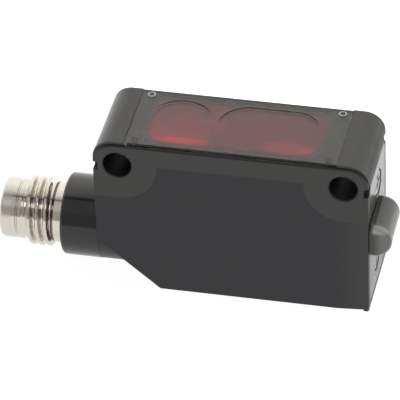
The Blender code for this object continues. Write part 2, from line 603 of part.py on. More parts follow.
# leads from the rear of the pins to the underside of the main board
for index, (name, y, z, colour) in enumerate(PINS):
    end_x = -8.7 + 1.3 * (index // 2)
    end_y = y * 2.3 if index < 2 else y * 0.9
    wire("lead_wire_" + colour, smooth_route([
        (-11.9, y, CONN_Z + z), (-11.0, y, CONN_Z + z), (-9.9, (y + end_y) / 2, CONN_Z + z - 0.1),
        (end_x - 0.2, end_y, CONN_Z + z + 0.5), (end_x, end_y, 6.9), (end_x, end_y, 7.8)]),
         0.32, PARTS, WIRE_MATS[colour])
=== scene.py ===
"""Looks of the miniature photoelectric sensor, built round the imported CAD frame.

Everything is in metres in the CAD's own frame: X runs along the housing from
the connector (-X) to the indicator dome (+X), Z = 0 is the flat back face and
the lenses look along +Z.  Numbers in the shape code are millimetres; fit() turns a
finished piece into metres.
"""

import json
import math

import bmesh
import bpy
from mathutils import Matrix, Vector

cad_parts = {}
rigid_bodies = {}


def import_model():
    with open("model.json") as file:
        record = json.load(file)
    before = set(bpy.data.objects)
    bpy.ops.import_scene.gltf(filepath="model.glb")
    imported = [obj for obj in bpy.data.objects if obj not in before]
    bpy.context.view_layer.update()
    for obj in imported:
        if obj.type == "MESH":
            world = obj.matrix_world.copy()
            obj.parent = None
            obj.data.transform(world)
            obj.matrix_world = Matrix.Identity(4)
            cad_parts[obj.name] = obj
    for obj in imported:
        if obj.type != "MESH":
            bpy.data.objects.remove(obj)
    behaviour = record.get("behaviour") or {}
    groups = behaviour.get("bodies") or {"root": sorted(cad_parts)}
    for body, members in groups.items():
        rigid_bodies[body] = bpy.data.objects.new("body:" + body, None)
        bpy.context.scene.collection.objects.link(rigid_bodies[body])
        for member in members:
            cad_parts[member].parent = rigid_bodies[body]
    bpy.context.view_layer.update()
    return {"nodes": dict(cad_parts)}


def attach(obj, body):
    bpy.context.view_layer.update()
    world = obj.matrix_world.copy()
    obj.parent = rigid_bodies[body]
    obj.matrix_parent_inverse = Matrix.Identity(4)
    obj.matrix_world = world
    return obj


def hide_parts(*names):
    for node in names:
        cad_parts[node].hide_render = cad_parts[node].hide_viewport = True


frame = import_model()
MM = 0.001

PIECES = bpy.data.collections.new("sensor_pieces")
TOOLS = bpy.data.collections.new("cutting_tools")
for _c in (PIECES, TOOLS):
    bpy.context.scene.collection.children.link(_c)


# ===========================================================================
# camera, floor and light
# ===========================================================================
cam_data = bpy.data.cameras.new("studio_camera")
cam_data.sensor_width = 36.0
cam_data.lens = 351.824
cam_data.clip_start = 0.01
cam_data.clip_end = 20.0
camera = bpy.data.objects.new("studio_camera", cam_data)
bpy.context.scene.collection.objects.link(camera)
RIGHT = Vector((0.9766833483, 0.2126324196, -0.0296157275))
UP = Vector((-0.1051321292, 0.5939899214, 0.7975733250))
BACK = Vector((0.1871813895, -0.7758630211, 0.6024945643))
camera.matrix_world = Matrix((
    (RIGHT.x, UP.x, BACK.x, 0.0774344775),
    (RIGHT.y, UP.y, BACK.y, -0.3405672208),
    (RIGHT.z, UP.z, BACK.z, 0.2734466129),
    (0, 0, 0, 1)))
bpy.context.scene.camera = camera
bpy.context.scene.view_settings.view_transform = 'Standard'
bpy.context.scene.view_settings.look = 'None'


class Nodes:
    """Short hand for building a node tree."""

    def __init__(self, tree):
        self.tree = tree
        tree.nodes.clear()

    def add(self, kind, **settings):
        node = self.tree.nodes.new(kind)
        for key, value in settings.items():
            setattr(node, key, value)
        return node

    def link(self, a, b):
        self.tree.links.new(a, b)

    def put(self, socket, value):
        """A socket is linked, a number or colour is set."""
        if isinstance(value, bpy.types.NodeSocket):
            self.link(value, socket)
        elif isinstance(value, (tuple, list)) and len(value) == 3 and socket.type == 'RGBA':
            socket.default_value = (*value, 1.0)
        else:
            socket.default_value = value

    def math(self, operation, a, b=0.0, clamp=False):
        node = self.add('ShaderNodeMath', operation=operation, use_clamp=clamp)
        self.put(node.inputs[0], a)
        self.put(node.inputs[1], b)
        return node.outputs[0]

    def ramp(self, value, lo, hi, out_lo=0.0, out_hi=1.0, soft=True):
        """Map a value, smoothly by default, from one range onto another."""
        node = self.add('ShaderNodeMapRange',
                        interpolation_type='SMOOTHSTEP' if soft else 'LINEAR')
        self.put(node.inputs['Value'], value)
        for name, v in (('From Min', lo), ('From Max', hi), ('To Min', out_lo), ('To Max', out_hi)):
            node.inputs[name].default_value = v
        return node.outputs['Result']

    def mix(self, factor, a, b):
        node = self.add('ShaderNodeMix', data_type='RGBA')
        self.put(node.inputs[0], factor)
        self.put(node.inputs[6], a)
        self.put(node.inputs[7], b)
        return node.outputs[2]

    def noise(self, vector, scale, detail=2.0, rough=0.5):
        node = self.add('ShaderNodeTexNoise')
        self.put(node.inputs['Vector'], vector)
        node.inputs['Scale'].default_value = scale
        node.inputs['Detail'].default_value = detail
        node.inputs['Roughness'].default_value = rough
        return node.outputs['Fac']


def build_world():
    """Light tent: bright above and behind, dim round the camera, one lamp bar."""
    world = bpy.data.worlds.new("light_tent")
    bpy.context.scene.world = world
    world.use_nodes = True
    n = Nodes(world.node_tree)
    coord = n.add('ShaderNodeTexCoord')
    split = n.add('ShaderNodeSeparateXYZ')
    n.link(coord.outputs['Generated'], split.inputs[0])
    x, y, z = split.outputs
    # angle in the YZ plane, from the horizon in front (-Y) up and over to +Y
    phi = n.math('MULTIPLY', n.math('ARCTAN2', z, n.math('MULTIPLY', y, -1.0)), 180 / math.pi)
    level = n.ramp(phi, 88, 98, 0.60, 1.00)                     # up front -> overhead
    level = n.math('ADD', level, n.ramp(phi, 30, 42, -0.16, 0.0))
    level = n.math('ADD', level, n.ramp(phi, -4, 3, 0.50, 0.0))
    # the wall of light behind and above the object
    level = n.math('ADD', level, n.math('MULTIPLY', n.ramp(phi, 100, 130, 0.0, 0.38),
                                        n.ramp(phi, 176, 186, 1.0, 0.0)))
    # dark surroundings of the camera with the lamp bar in them
    window = n.math('MULTIPLY', n.ramp(x, -0.13, -0.05), n.ramp(x, 0.45, 0.65, 1.0, 0.0))
    dark = n.math('MULTIPLY', n.ramp(phi, 3, 7), n.ramp(phi, 80, 86, 1.0, 0.0))
    bar = n.math('MULTIPLY', n.ramp(phi, 40, 44), n.ramp(phi, 56, 60, 1.0, 0.0))
    target = n.ramp(bar, 0, 1, 0.16, 2.6, soft=False)
    amount = n.math('MULTIPLY', window, dark)
    level = n.math('ADD', n.math('MULTIPLY', level, n.math('SUBTRACT', 1.0, amount)),
                   n.math('MULTIPLY', target, amount))
    slit = n.math('MULTIPLY', n.ramp(phi, 73, 76), n.ramp(phi, 81, 84, 1.0, 0.0))
    slit = n.math('MULTIPLY', slit, n.ramp(x, -0.45, -0.35))
    level = n.math('MULTIPLY', level, n.math('SUBTRACT', 1.0, n.math('MULTIPLY', slit, 0.72)))
    # the wall falls off towards the control end
    fall = n.math('MULTIPLY', n.ramp(x, 0.30, 0.58), n.ramp(phi, 104, 128))
    level = n.math('MULTIPLY', level, n.math('SUBTRACT', 1.0, n.math('MULTIPLY', fall, 0.12)))
    background = n.add('ShaderNodeBackground')
    background.inputs['Color'].default_value = (1.0, 0.985, 0.965, 1.0)
    n.link(level, background.inputs['Strength'])
    out = n.add('ShaderNodeOutputWorld')
    n.link(background.outputs[0], out.inputs['Surface'])


build_world()

floor_mesh = bpy.data.meshes.new("studio_floor")
_bm = bmesh.new()
bmesh.ops.create_grid(_bm, x_segments=8, y_segments=8, size=2.5)
_bm.to_mesh(floor_mesh)
_bm.free()
floor = bpy.data.objects.new("studio_floor", floor_mesh)
floor.location = (0, 0, -0.00002)
bpy.context.scene.collection.objects.link(floor)
floor_mat = bpy.data.materials.new("studio_paper")
floor_mat.use_nodes = True
_n = Nodes(floor_mat.node_tree)
_shader = _n.add('ShaderNodeBsdfPrincipled')
_tex = _n.add('ShaderNodeTexCoord')
_n.put(_shader.inputs['Base Color'],
       _n.mix(_n.noise(_tex.outputs['Object'], 30, 3), (0.14, 0.14, 0.14), (0.15, 0.15, 0.15)))
_split = _n.add('ShaderNodeSeparateXYZ')
_n.link(_tex.outputs['Object'], _split.inputs[0])
_n.put(_shader.inputs['Emission Strength'], _n.ramp(_split.outputs[1], 0.002, 0.03, 0.95, 1.36))
_shader.inputs['Roughness'].default_value = 0.9
_shader.inputs['Specular IOR Level'].default_value = 0.1
_shader.inputs['Emission Color'].default_value = (1, 1, 1, 1)
_o = _n.add('ShaderNodeOutputMaterial')
_n.link(_shader.outputs[0], _o.inputs['Surface'])
floor_mesh.materials.append(floor_mat)


# ===========================================================================
# materials
# ===========================================================================
def material(name, base, rough, metallic=0.0, specular=0.5, vary=0.12, vary_scale=500.0,
             grain=0.05, grain_scale=9000.0, rough_vary=0.05, edge_wear=0.0, wear=(0.3, 0.3, 0.3),
             bump_distance=0.02, extra=None, rough_map=None, **sockets):
    """Principled material with colour mottling, fine grain and roughness change.

    base is a colour; vary mottles it; grain is the depth of the fine moulded or
    plated grain; edge_wear lightens convex edges a little.  extra gets the node
    helper and the mottled colour and may return another colour.
    """
    mat = bpy.data.materials.new(name)
    mat.use_nodes = True
    n = Nodes(mat.node_tree)
    shader = n.add('ShaderNodeBsdfPrincipled')
    coord = n.add('ShaderNodeTexCoord').outputs['Object']
    mottle = n.noise(coord, vary_scale, 4.0, 0.6)
    lo = tuple(c * (1 - vary) for c in base)
    hi = tuple(min(1.0, c * (1 + vary)) for c in base)
    colour = n.mix(n.ramp(mottle, 0.3, 0.7), lo, hi)
    if edge_wear:
        pointy = n.add('ShaderNodeNewGeometry').outputs['Pointiness']
        colour = n.mix(n.ramp(pointy, 0.52, 0.60, 0.0, edge_wear), colour, wear)
    if extra:
        colour = extra(n, coord, colour)
    n.put(shader.inputs['Base Color'], colour)
    fine = n.noise(coord, grain_scale, 2.0)
    roughness = n.math('ADD', n.ramp(mottle, 0.25, 0.75, rough - rough_vary, rough + rough_vary),
                       n.ramp(fine, 0.3, 0.7, -0.02 * min(1, rough_vary * 50),
                              0.02 * min(1, rough_vary * 50)))
    if rough_map:
        roughness = n.math('ADD', roughness, rough_map(n, coord))
    n.put(shader.inputs['Roughness'], roughness)
    shader.inputs['Metallic'].default_value = metallic
    shader.inputs['Specular IOR Level'].default_value = specular
    for key, value in sockets.items():
        shader.inputs[key.replace('_', ' ')].default_value = value
    if grain:
        bump = n.add('ShaderNodeBump')
        bump.inputs['Strength'].default_value = grain
        bump.inputs['Distance'].default_value = bump_distance * MM
        n.link(fine, bump.inputs['Height'])
        n.link(bump.outputs[0], shader.inputs['Normal'])
    out = n.add('ShaderNodeOutputMaterial')
    n.link(shader.outputs[0], out.inputs['Surface'])
    return mat


def case_colour(n, coord, colour):
    """Pads and band are smoother and a touch lighter than the sunk panels,
    and the panels lighten a little towards the control end."""
    split = n.add('ShaderNodeSeparateXYZ')
    n.link(coord, split.inputs[0])
    side = n.math('ABSOLUTE', split.outputs[1])
    raised = n.ramp(side, 5.455 * MM, 5.495 * MM)
    colour = n.mix(n.ramp(split.outputs[0], 11.0 * MM, 15.0 * MM, 0.0, 0.8), colour,
                   (0.0250, 0.0245, 0.0230))
    return n.mix(raised, colour, (0.0260, 0.0255, 0.0240))


M_CASE = material("case_black_plastic", (0.0074, 0.0068, 0.0104), 0.42, vary=0.10, vary_scale=350,
                  grain=0.35, grain_scale=11000, extra=case_colour, IOR=1.47)
def cover_roughness(n, coord):
    """The ends that wrap down over the housing are more matt."""
    split = n.add('ShaderNodeSeparateXYZ')
    n.link(coord, split.inputs[0])
    return n.ramp(split.outputs[0], 14.7 * MM, 15.4 * MM, 0.0, 0.30)


M_COVER = material("cover_black_plastic", (0.0200, 0.0200, 0.0180), 0.30, vary=0.10, vary_scale=300,
                   grain=0.15, grain_scale=9000, rough_map=cover_roughness)
M_PANEL = material("panel_black_plastic", (0.0300, 0.0300, 0.0290), 0.24, vary=0.12, vary_scale=400,
                   grain=0.2, grain_scale=9000)
def collar_top_painted_sheen(n, coord, colour):
    """Painted sheen: the collar's upper side is lightened to stand in for the bright light overhead
    that it reflects.
    """
    split = n.add('ShaderNodeSeparateXYZ')
    n.link(coord, split.inputs[0])
    upper = n.math('MULTIPLY', n.ramp(split.outputs[1], -2.45 * MM, -2.10 * MM),
                   n.ramp(split.outputs[2], 6.5 * MM, 8.5 * MM))
    return n.mix(upper, colour, (0.052, 0.051, 0.047))


M_GLOSS = material("collar_gloss_black", (0.0110, 0.0110, 0.0115), 0.10, vary=0.15, vary_scale=500,
                   grain=0.03, grain_scale=6000, rough_vary=0.02, extra=collar_top_painted_sheen)
M_INSERT = material("insert_black_nylon", (0.012, 0.012, 0.013), 0.5, grain=0.3)
M_ROTOR = material("rotor_grey_plastic", (0.30, 0.30, 0.29), 0.34, vary=0.05, vary_scale=900,
                   grain=0.1, grain_scale=9000)


def nickel_drift_and_groove_shade(n, coord, colour):
    """Slight warm and cool drift of the plating along the shell, and a painted shade ring at the neck
    groove.
    """
    drift = n.noise(coord, 160, 2.0)
    colour = n.mix(n.ramp(drift, 0.35, 0.65), colour, (0.61, 0.575, 0.515))
    split = n.add('ShaderNodeSeparateXYZ')
    n.link(coord, split.inputs[0])
    # painted shade: a dark ring at the neck groove stands in for the shadow of a deeper groove
    off = n.math('ABSOLUTE', n.math('ADD', split.outputs[0], 21.31 * MM))
    return n.mix(n.ramp(off, 0.08 * MM, 0.15 * MM, 1.0, 0.0), colour, (0.24, 0.20, 0.16))


def shell_roughness(n, coord):
    """The nose is matt from handling, the thread crests are bright."""
    split = n.add('ShaderNodeSeparateXYZ')
    n.link(coord, split.inputs[0])
    cut = n.math('ABSOLUTE', n.math('ADD', split.outputs[0], 25.46 * MM))
    return n.math('MULTIPLY', n.ramp(split.outputs[0], -26.2 * MM, -25.9 * MM, 0.15, 0.0),
                  n.ramp(cut, 0.16 * MM, 0.24 * MM))


M_NICKEL = material("nickel_plate", (0.63, 0.60, 0.54), 0.12, metallic=1.0, vary=0.03,
                    vary_scale=260, grain=0.05, grain_scale=5000, rough_vary=0.03,
                    extra=nickel_drift_and_groove_shade, rough_map=shell_roughness)
M_GOLD = material("gold_plate", (0.80, 0.58, 0.25), 0.2, metallic=1.0, vary=0.05, grain=0.1)


def dome_painted_light(n, coord, colour):
    """Painted light and shade: the bar darkens towards its foot and lightens towards its crest, the
    near lobe's face is lightened towards its crest, and a painted highlight runs along the lobe's
    upper edge."""
    split = n.add('ShaderNodeSeparateXYZ')
    n.link(coord, split.inputs[0])
    x, y, z = split.outputs
    # painted shade towards the foot, lighter towards the crest
    colour = n.mix(n.ramp(x, 15.6 * MM, 17.9 * MM), colour, (0.100, 0.102, 0.095))
    lobe = n.ramp(y, -5.15 * MM, -4.75 * MM, 1.0, 0.0)
    face = n.math('MULTIPLY', lobe, n.ramp(x, 15.9 * MM, 17.2 * MM))
    colour = n.mix(face, colour, (0.140, 0.142, 0.130))
    # painted highlight on the rounded upper edge of the near lobe
    edge = n.math('MULTIPLY', n.ramp(y, -4.9 * MM, -4.5 * MM, 1.0, 0.0),
                  n.math('MULTIPLY', n.ramp(z, 10.75 * MM, 11.25 * MM),
                         n.ramp(x, 15.7 * MM, 16.1 * MM)))
    return n.mix(edge, colour, (0.30, 0.302, 0.29))


M_DOME = material("dome_smoked_grey", (0.030, 0.031, 0.028), 0.20, vary=0.06, vary_scale=400,
                  grain=0.05, grain_scale=5000, extra=dome_painted_light)


def plane_xy(n, coord):
    split = n.add('ShaderNodeSeparateXYZ')
    n.link(coord, split.inputs[0])
    return split.outputs[0], split.outputs[1]


def painted_glow_patch(n, coord, colour, bright, centre, half, amount):
    """Painted light: a soft elliptical patch of brighter red standing in for light refracted into the
    lens, centre and half size in mm.
    """
    x, y = plane_xy(n, coord)
    dx = n.math('DIVIDE', n.math('SUBTRACT', x, centre[0] * MM), half[0] * MM)
    dy = n.math('DIVIDE', n.math('SUBTRACT', y, centre[1] * MM), half[1] * MM)
    d = n.math('SQRT', n.math('ADD', n.math('MULTIPLY', dx, dx), n.math('MULTIPLY', dy, dy)))
    return n.mix(n.ramp(d, 1.0, 0.3, 0.0, amount), colour, bright)


def round_rect(n, coord, centre, half, radius):
    """Signed distance in metres to a rounded rectangle seen along Z."""
    x, y = plane_xy(n, coord)
    q = []
    for value, c, h in ((x, centre[0], half[0]), (y, centre[1], half[1])):
        value = n.math('ABSOLUTE', n.math('SUBTRACT', value, c * MM))
        q.append(n.math('SUBTRACT', value, (h - radius) * MM))
    far = [n.math('MAXIMUM', v, 0.0) for v in q]
    out = n.math('SQRT', n.math('ADD', n.math('MULTIPLY', far[0], far[0]),
                                n.math('MULTIPLY', far[1], far[1])))
    inner = n.math('MINIMUM', n.math('MAXIMUM', q[0], q[1]), 0.0)
    return n.math('SUBTRACT', n.math('ADD', out, inner), radius * MM)


def lens_material(name, base, spots, outline):
    """Red lens with painted glow patches, standing in for light refracted through it, and a painted
    shade line along the far half of its outline.
    """
    def extra(n, coord, colour):
        for spot in spots:
            colour = painted_glow_patch(n, coord, colour, *spot)
        # painted shade: a dark line on the far half of the outline stands in for the shadowed far wall
        # of the sunk field
        if outline:
            centre = ((outline[0] + outline[1]) / 2, 0.0)
            half = ((outline[1] - outline[0]) / 2, 3.95)
            edge = n.math('ABSOLUTE', round_rect(n, coord, centre, half, 3.3))
            x, y = plane_xy(n, coord)
            line = n.math('MULTIPLY', n.ramp(edge, 0.07 * MM, 0.13 * MM, 1.0, 0.0),
                          n.ramp(y, -0.5 * MM, 2.2 * MM))
            colour = n.mix(line, colour, (0.002, 0.001, 0.001))
        return colour
    return material(name, base, 0.25, vary=0.08, vary_scale=250, grain=0.0, rough_vary=0.05,
                    specular=0.2, extra=extra)


# the listed spots are painted glow patches: light refracted through the lenses, put into their colour
M_LENS_E = lens_material("emitter_lens_red", (0.068, 0.0035, 0.007),
                         [((0.175, 0.004, 0.011), (-6.4, -1.6), (4.6, 4.9), 1.0),
                          ((0.30, 0.006, 0.015), (-9.3, -2.0), (1.2, 3.6), 0.6),
                          ((0.36, 0.008, 0.020), (-6.0, -3.0), (4.6, 2.1), 1.0),
                          ((0.72, 0.012, 0.075), (-5.95, -3.2), (3.9, 0.85), 1.0),
                          ((0.18, 0.006, 0.014), (-2.9, 0.6), (1.2, 3.9), 0.8)],
                         (-9.75, -3.1))
M_LENS_R = lens_material("receiver_lens_red", (0.056, 0.0045, 0.009),
                         [((0.095, 0.004, 0.009), (3.0, -0.8), (6.0, 3.6), 1.0),
                          ((0.32, 0.008, 0.018), (6.0, -2.6), (4.2, 1.7), 1.0),
                          ((0.42, 0.006, 0.055), (7.75, -2.75), (1.3, 0.9), 1.0),
                          ((0.18, 0.006, 0.014), (-2.5, 0.9), (1.1, 3.9), 0.8)],
                         (-2.65, 8.7))


def optic_zone(n, coord, colour):
    """Clear red over the lenses, dark smoke outside a soft-edged rectangle."""
    edge = round_rect(n, coord, (-0.15, -0.1), (9.85, 4.15), 1.6)
    colour = n.mix(n.ramp(edge, -0.55 * MM, 0.45 * MM, 1.0, 0.0), colour, (0.90, 0.48, 0.51))
    # shadow line of the frame's far inner edge
    x, y = plane_xy(n, coord)
    off = n.math('ABSOLUTE', n.math('SUBTRACT', y, 4.28 * MM))
    line = n.math('MULTIPLY', n.ramp(off, 0.03 * MM, 0.13 * MM, 0.75, 0.0),
                  n.ramp(n.math('ABSOLUTE', x), 9.2 * MM, 10.0 * MM, 1.0, 0.0))
    return n.mix(line, colour, (0.06, 0.05, 0.05))


M_WINDOW = material("window_smoked_acrylic", (0.46, 0.46, 0.40), 0.015, vary=0.03, vary_scale=200,
                    grain=0.0, rough_vary=0.0005, extra=optic_zone, IOR=1.45,
                    Transmission_Weight=1.0)
# near-black material painted into the window's engraving as shade
M_GROOVE_SHADE = material("window_groove_painted_shade", (0.012, 0.007, 0.008), 0.6, specular=0.15, grain=0.2)
M_RUBBER = material("seal_rubber", (0.025, 0.025, 0.025), 0.65, grain=0.4)
# light grey that stands in for the highlights on the far posts' rims
M_STAKE_HIGHLIGHT = material("stake_rim_painted_highlight", (0.50, 0.50, 0.48), 0.3, vary=0.25, vary_scale=2500)
M_HOLDER = material("holder_black", (0.02, 0.02, 0.02), 0.7, grain=0.4)


def board_tracks(n, coord, colour):
    wave = n.add('ShaderNodeTexWave', wave_type='BANDS', bands_direction='DIAGONAL')
    n.put(wave.inputs['Vector'], coord)
    wave.inputs['Scale'].default_value = 400
    wave.inputs['Distortion'].default_value = 3.0
    return n.mix(n.ramp(wave.outputs['Fac'], 0.6, 0.75, 0.0, 0.6), colour, (0.05, 0.26, 0.10))


M_BOARD = material("board_green_resist", (0.015, 0.13, 0.045), 0.35, extra=board_tracks)
M_CHIP = material("chip_epoxy", (0.025, 0.025, 0.028), 0.5, grain=0.4, grain_scale=14000)
M_TIN = material("tinned_steel", (0.62, 0.61, 0.59), 0.3, metallic=1.0, grain=0.15)
M_CERAMIC = material("ceramic_tan", (0.45, 0.33, 0.20), 0.45, vary=0.15)
M_TRIM = material("trimmer_blue", (0.05, 0.13, 0.34), 0.4)
M_LED_RED = material("led_red_epoxy", (0.65, 0.05, 0.03), 0.15, Transmission_Weight=0.3)
M_LED_ORANGE = material("led_orange_epoxy", (0.85, 0.33, 0.05), 0.2)
M_LED_GREEN = material("led_green_epoxy", (0.10, 0.55, 0.14), 0.2)
WIRES = {"brown": material("wire_brown_pvc", (0.15, 0.06, 0.03), 0.45),
         "white": material("wire_white_pvc", (0.74, 0.74, 0.72), 0.45),
         "blue": material("wire_blue_pvc", (0.03, 0.09, 0.40), 0.45),
         "black": material("wire_black_pvc", (0.02, 0.02, 0.02), 0.45)}

# CAD nodes that stay as they are, with their finished materials
for _name, _mat in {
        "front_gasket": M_RUBBER, "optics_holder": M_HOLDER, "main_board": M_BOARD,
        "emitter_led": M_LED_RED, "receiver_photodiode": M_CHIP, "receiver_shield": M_TIN,
        "signal_ic": M_CHIP, "output_driver": M_CHIP, "filter_capacitor": M_CERAMIC,
        "board_header": M_INSERT, "indicator_board": M_BOARD, "output_led": M_LED_ORANGE,
        "stability_led": M_LED_GREEN, "sensitivity_seal": M_RUBBER, "selector_seal": M_RUBBER,
        "sensitivity_trimmer_body": M_TRIM, "selector_switch_body": M_TRIM,
        "collar_seal": M_RUBBER, "lead_wire_brown": WIRES["brown"],
        "lead_wire_white": WIRES["white"], "lead_wire_blue": WIRES["blue"],
        "lead_wire_black": WIRES["black"]}.items():
    _slots = frame["nodes"][_name].material_slots
    for _slot in _slots:
        _slot.material = _mat


# ===========================================================================
# shape helpers
# ===========================================================================
def new_object(name, mesh, coll, mat=None):
    ob = bpy.data.objects.new(name, mesh)
    coll.objects.link(ob)
    if mat is not None:
        mesh.materials.clear()
        mesh.materials.append(mat)
    if coll is TOOLS:
        ob.hide_render = True
    return ob


def fillet(points, steps=10):
    """Outline corners (x, y, radius) turned into points with round corners."""
    out = []
    n = len(points)
    for i, (x, y, r) in enumerate(points):
        p = Vector((x, y))
        if r <= 0:
            out.append((x, y))
            continue
        a = (Vector(points[i - 1][:2]) - p).normalized()
        b = (Vector(points[(i + 1) % n][:2]) - p).normalized()
        half = math.acos(max(-1.0, min(1.0, a.dot(b)))) / 2
        reach = r / math.tan(half)
        centre = p + (a + b).normalized() * (r / math.sin(half))
        s, e = p + a * reach - centre, p + b * reach - centre
        sweep = math.atan2(s.x * e.y - s.y * e.x, s.dot(e))
        for k in range(steps + 1):
            t = sweep * k / steps
            out.append((centre.x + s.x * math.cos(t) - s.y * math.sin(t),
                        centre.y + s.x * math.sin(t) + s.y * math.cos(t)))
    return out


def circle_points(cx, cy, r, count, start=0.0, sweep=2 * math.pi):
    return [(cx + r * math.cos(start + sweep * k / count),
             cy + r * math.sin(start + sweep * k / count)) for k in range(count)]


PLANES = {'XY': lambda u, v, w: (u, v, w), 'XZ': lambda u, v, w: (u, w, v),
          'YZ': lambda u, v, w: (w, u, v)}


def prism(name, points, plane, low, high, coll, mat=None, taper=None):
    """Closed outline extruded along the normal of its plane.

    taper is an outline with as many points for the high end.
    """
    bm = bmesh.new()
    to = PLANES[plane]
    ends = []
    for w, outline in ((low, points), (high, taper or points)):
        ends.append([bm.verts.new(to(u, v, w)) for u, v in outline])
    count = len(points)
    for i in range(count):
        j = (i + 1) % count
        bm.faces.new((ends[0][i], ends[0][j], ends[1][j], ends[1][i]))
    bm.faces.new(list(reversed(ends[0])))
    bm.faces.new(ends[1])
    bmesh.ops.recalc_face_normals(bm, faces=bm.faces)
    mesh = bpy.data.meshes.new(name)
    bm.to_mesh(mesh)
    bm.free()
    return new_object(name, mesh, coll, mat)


def block(name, lo, hi, coll, mat=None):
    return prism(name, [(lo[0], lo[1]), (hi[0], lo[1]), (hi[0], hi[1]), (lo[0], hi[1])],
                 'XY', lo[2], hi[2], coll, mat)


def lathe(name, profile, centre, axis, coll, mat=None, steps=96, ring=False, radius=None):
    """Profile of (radius, place along the axis) turned about an axis.

    ring joins the profile's ends; otherwise the ends lie on the axis.  radius,
    if given, changes a ring point's radius: radius(index, r, along, angle).
    """
    bm = bmesh.new()
    rows = []
    for index, (r, a) in enumerate(profile):
        if r <= 1e-9:
            row = [bm.verts.new(_turned(0.0, 0.0, a, centre, axis))]
        else:
            row = []
            for k in range(steps):
                t = 2 * math.pi * k / steps
                rr = radius(index, r, a, t) if radius else r
                row.append(bm.verts.new(_turned(rr, t, a, centre, axis)))
        rows.append(row)
    pairs = list(zip(rows[:-1], rows[1:]))
    if ring:
        pairs.append((rows[-1], rows[0]))
    for a, b in pairs:
        for k in range(steps):
            j = (k + 1) % steps
            if len(a) == 1 and len(b) == 1:
                break
            if len(a) == 1:
                bm.faces.new((a[0], b[j], b[k]))
            elif len(b) == 1:
                bm.faces.new((a[k], a[j], b[0]))
            else:
                bm.faces.new((a[k], a[j], b[j], b[k]))
    bmesh.ops.recalc_face_normals(bm, faces=bm.faces)
    mesh = bpy.data.meshes.new(name)
    bm.to_mesh(mesh)
    bm.free()
    return new_object(name, mesh, coll, mat)


def _turned(r, t, a, centre, axis):
    c, s = r * math.cos(t), r * math.sin(t)
    p = {'X': (a, c, s), 'Y': (s, a, c), 'Z': (c, s, a)}[axis]
    return [p[i] + centre[i] for i in range(3)]


def rod(name, r, start, end, axis, centre, coll, steps=64, r2=None, mat=None):
    return lathe(name, [(0, start), (r, start), (r if r2 is None else r2, end), (0, end)],
                 centre, axis, coll, mat, steps)


def shade(ob, angle=32.0):
    """Smooth shading that keeps flat faces flat next to their round edges."""
    ob.data.shade_smooth()
    ob.data.set_sharp_from_angle(angle=math.radians(angle))
    mod = ob.modifiers.new("normals", 'WEIGHTED_NORMAL')
    mod.mode = 'FACE_AREA'
    mod.weight = 60
    mod.keep_sharp = True
    return apply(ob)


def apply(ob):
    """Replace the mesh by the evaluated one, so that no modifier is left."""
    bpy.context.view_layer.update()
    graph = bpy.context.evaluated_depsgraph_get()
    mesh = bpy.data.meshes.new_from_object(ob.evaluated_get(graph))
    mesh.name = ob.name
    ob.modifiers.clear()
    ob.data = mesh
    return ob


def flat_faces(ob):
    """Split faces of five corners or more, so that each face is truly flat."""
    bm = bmesh.new()
    bm.from_mesh(ob.data)
    bmesh.ops.triangulate(bm, faces=[f for f in bm.faces if len(f.verts) > 4])
    bm.to_mesh(ob.data)
    bm.free()
    return ob


def open_edges(mesh):
    bm = bmesh.new()
    bm.from_mesh(mesh)
    bmesh.ops.remove_doubles(bm, verts=bm.verts, dist=1e-5)
    count = sum(1 for e in bm.edges if len(e.link_faces) != 2)
    bm.free()
    return count


def boolean(ob, cutter, operation='DIFFERENCE'):
    """Exact boolean, applied at once; the first closed result is kept."""
    flat_faces(ob)
    flat_faces(cutter)
    best = None
    for own, holes in ((False, False), (False, True), (True, False), (True, True)):
        mod = ob.modifiers.new("join", 'BOOLEAN')
        mod.operation = operation
        mod.solver = 'EXACT'
        mod.use_self = own
        mod.use_hole_tolerant = holes
        mod.object = cutter
        bpy.context.view_layer.update()
        graph = bpy.context.evaluated_depsgraph_get()
        mesh = bpy.data.meshes.new_from_object(ob.evaluated_get(graph))
        ob.modifiers.clear()
        gaps = open_edges(mesh) if len(mesh.polygons) else 10 ** 6
        if best is None or gaps < best[0]:
            best = (gaps, mesh)
        if gaps == 0:
            break
    best[1].name = ob.name
    ob.data = best[1]
    return ob


def bevel(ob, width, segments=3, angle=40.0, clamp=True):
    mod = ob.modifiers.new("edge", 'BEVEL')
    mod.width = width
    mod.segments = segments
    mod.limit_method = 'ANGLE'
    mod.angle_limit = math.radians(angle)
    mod.use_clamp_overlap = clamp
    mod.harden_normals = False
    return ob


def round_edges(ob, pick, width, segments=4):
    """Round the edges whose two ends both satisfy pick(co)."""
    bm = bmesh.new()
    bm.from_mesh(ob.data)
    edges = [e for e in bm.edges if all(pick(v.co) for v in e.verts) and len(e.link_faces) == 2
             and e.calc_face_angle(0.0) > math.radians(35)]
    bmesh.ops.bevel(bm, geom=edges, offset=width, offset_type='OFFSET', segments=segments,
                    profile=0.5, affect='EDGES', clamp_overlap=True)
    bm.to_mesh(ob.data)
    bm.free()
    return ob


def clean(ob, dist=1e-5):
    bm = bmesh.new()
    bm.from_mesh(ob.data)
    bmesh.ops.remove_doubles(bm, verts=bm.verts, dist=dist)
    bmesh.ops.dissolve_degenerate(bm, dist=dist, edges=bm.edges)
    bmesh.ops.delete(bm, geom=[e for e in bm.edges if not e.link_faces], context='EDGES')
    bmesh.ops.delete(bm, geom=[v for v in bm.verts if not v.link_edges], context='VERTS')
    bm.to_mesh(ob.data)
    bm.free()
    return ob


